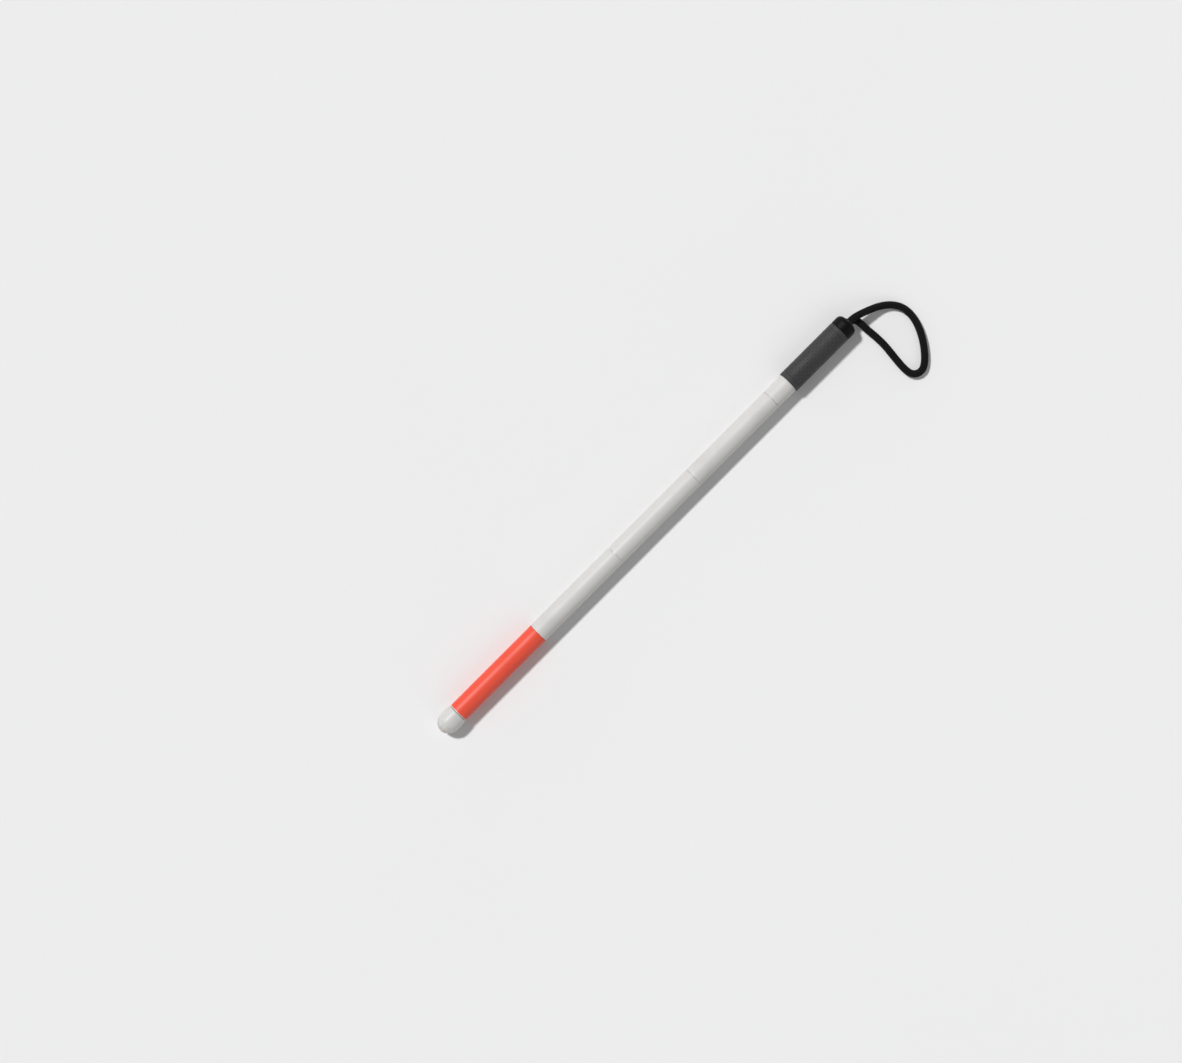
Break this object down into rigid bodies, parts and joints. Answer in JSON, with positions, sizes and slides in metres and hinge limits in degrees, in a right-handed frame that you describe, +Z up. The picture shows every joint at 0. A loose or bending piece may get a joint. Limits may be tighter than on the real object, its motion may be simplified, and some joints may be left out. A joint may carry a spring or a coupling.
{
  "type": "white cane",
  "caption": "Short folding white cane: white shaft of tube sections on an elastic cord, red lowest section, dark rubber grip, black end cap with wrist loop, white domed roller tip.",
  "frame": {"origin": "on the surface that the cane lies on, below the middle of its length and of its width, without the wrist loop", "axes": "+X along the cane from the tip to the grip, +Z up from the surface, +Y across it; the wrist loop lies on the -Y side"},
  "size_m": [0.7775, 0.1249, 0.0288],
  "materials": {
    "aluminium_tube": "drawn, satin",
    "ferrule_aluminium": "turned, bright",
    "white_sheeting": "reflective sheeting with a fine cell pattern",
    "red_sheeting": "reflective sheeting with a fine cell pattern",
    "grip_rubber": "matt, finely ribbed",
    "cap_rubber": "satin, moulded",
    "black_nylon": "moulded",
    "loop_braid": "braided nylon over rubber",
    "elastic_braid": "braided polyester over rubber",
    "steel": "plated",
    "ball_steel": "polished",
    "rivet_aluminium": "as drawn",
    "tip_nylon": "moulded nylon, lightly scuffed"
  },
  "bodies": {
    "handle_section": {"handle_tube": "aluminium_tube", "white_tape_1": "white_sheeting", "grip_sleeve": "grip_rubber", "grip_end_cap": "cap_rubber", "cord_grommet": "black_nylon", "tube_plug": "black_nylon", "loop_crimp": "steel", "loop_tails": "loop_braid", "wrist_loop": "loop_braid", "cord_anchor": "black_nylon", "anchor_rivets": "rivet_aluminium", "anchor_crimp": "steel", "joint_ferrule_1": "ferrule_aluminium", "ferrule_rivets_1": "rivet_aluminium", "shock_cord_1": "elastic_braid"},
    "section_2": {"section_tube_2": "aluminium_tube", "white_tape_2": "white_sheeting", "socket_liner_2": "black_nylon", "joint_ferrule_2": "ferrule_aluminium", "ferrule_rivets_2": "rivet_aluminium", "shock_cord_2": "elastic_braid"},
    "section_3": {"section_tube_3": "aluminium_tube", "white_tape_3": "white_sheeting", "socket_liner_3": "black_nylon", "joint_ferrule_3": "ferrule_aluminium", "ferrule_rivets_3": "rivet_aluminium", "shock_cord_3": "elastic_braid"},
    "section_4": {"section_tube_4": "aluminium_tube", "white_tape_4": "white_sheeting", "socket_liner_4": "black_nylon", "joint_ferrule_4": "ferrule_aluminium", "ferrule_rivets_4": "rivet_aluminium", "shock_cord_4": "elastic_braid"},
    "section_5": {"section_tube_5": "aluminium_tube", "red_tape": "red_sheeting", "socket_liner_5": "black_nylon", "tip_adapter": "tip_nylon", "adapter_rivets": "rivet_aluminium", "tip_axle": "steel", "bearing_inner_ring": "steel", "axle_washer": "steel", "axle_screw": "steel", "cord_hook": "steel", "lower_crimp": "steel"},
    "roller": {"roller_tip": "tip_nylon", "tip_rear_cover": "tip_nylon", "bearing_outer_ring": "steel", "bearing_balls": "ball_steel"}
  },
  "joints": [
    {"name": "pull_1", "type": "slide", "parent": "handle_section", "child": "section_2", "axis": [-1, 0, 0], "range_m": [0, 0.045], "stiffness_N_per_m": 150, "springref_m": -0.15, "deforming": ["shock_cord_1"]},
    {"name": "pull_2", "type": "slide", "parent": "section_2", "child": "section_3", "axis": [-1, 0, 0], "range_m": [0, 0.045], "stiffness_N_per_m": 150, "springref_m": -0.15, "deforming": ["shock_cord_2"]},
    {"name": "pull_3", "type": "slide", "parent": "section_3", "child": "section_4", "axis": [-1, 0, 0], "range_m": [0, 0.045], "stiffness_N_per_m": 150, "springref_m": -0.15, "deforming": ["shock_cord_3"]},
    {"name": "pull_4", "type": "slide", "parent": "section_4", "child": "section_5", "axis": [-1, 0, 0], "range_m": [0, 0.045], "stiffness_N_per_m": 150, "springref_m": -0.15, "deforming": ["shock_cord_4"]},
    {"name": "tip_spin", "type": "hinge", "parent": "section_5", "child": "roller", "pos_m": [-0.34, 0, 0.0142], "axis": [1, 0, 0], "continuous": true}
  ]
}
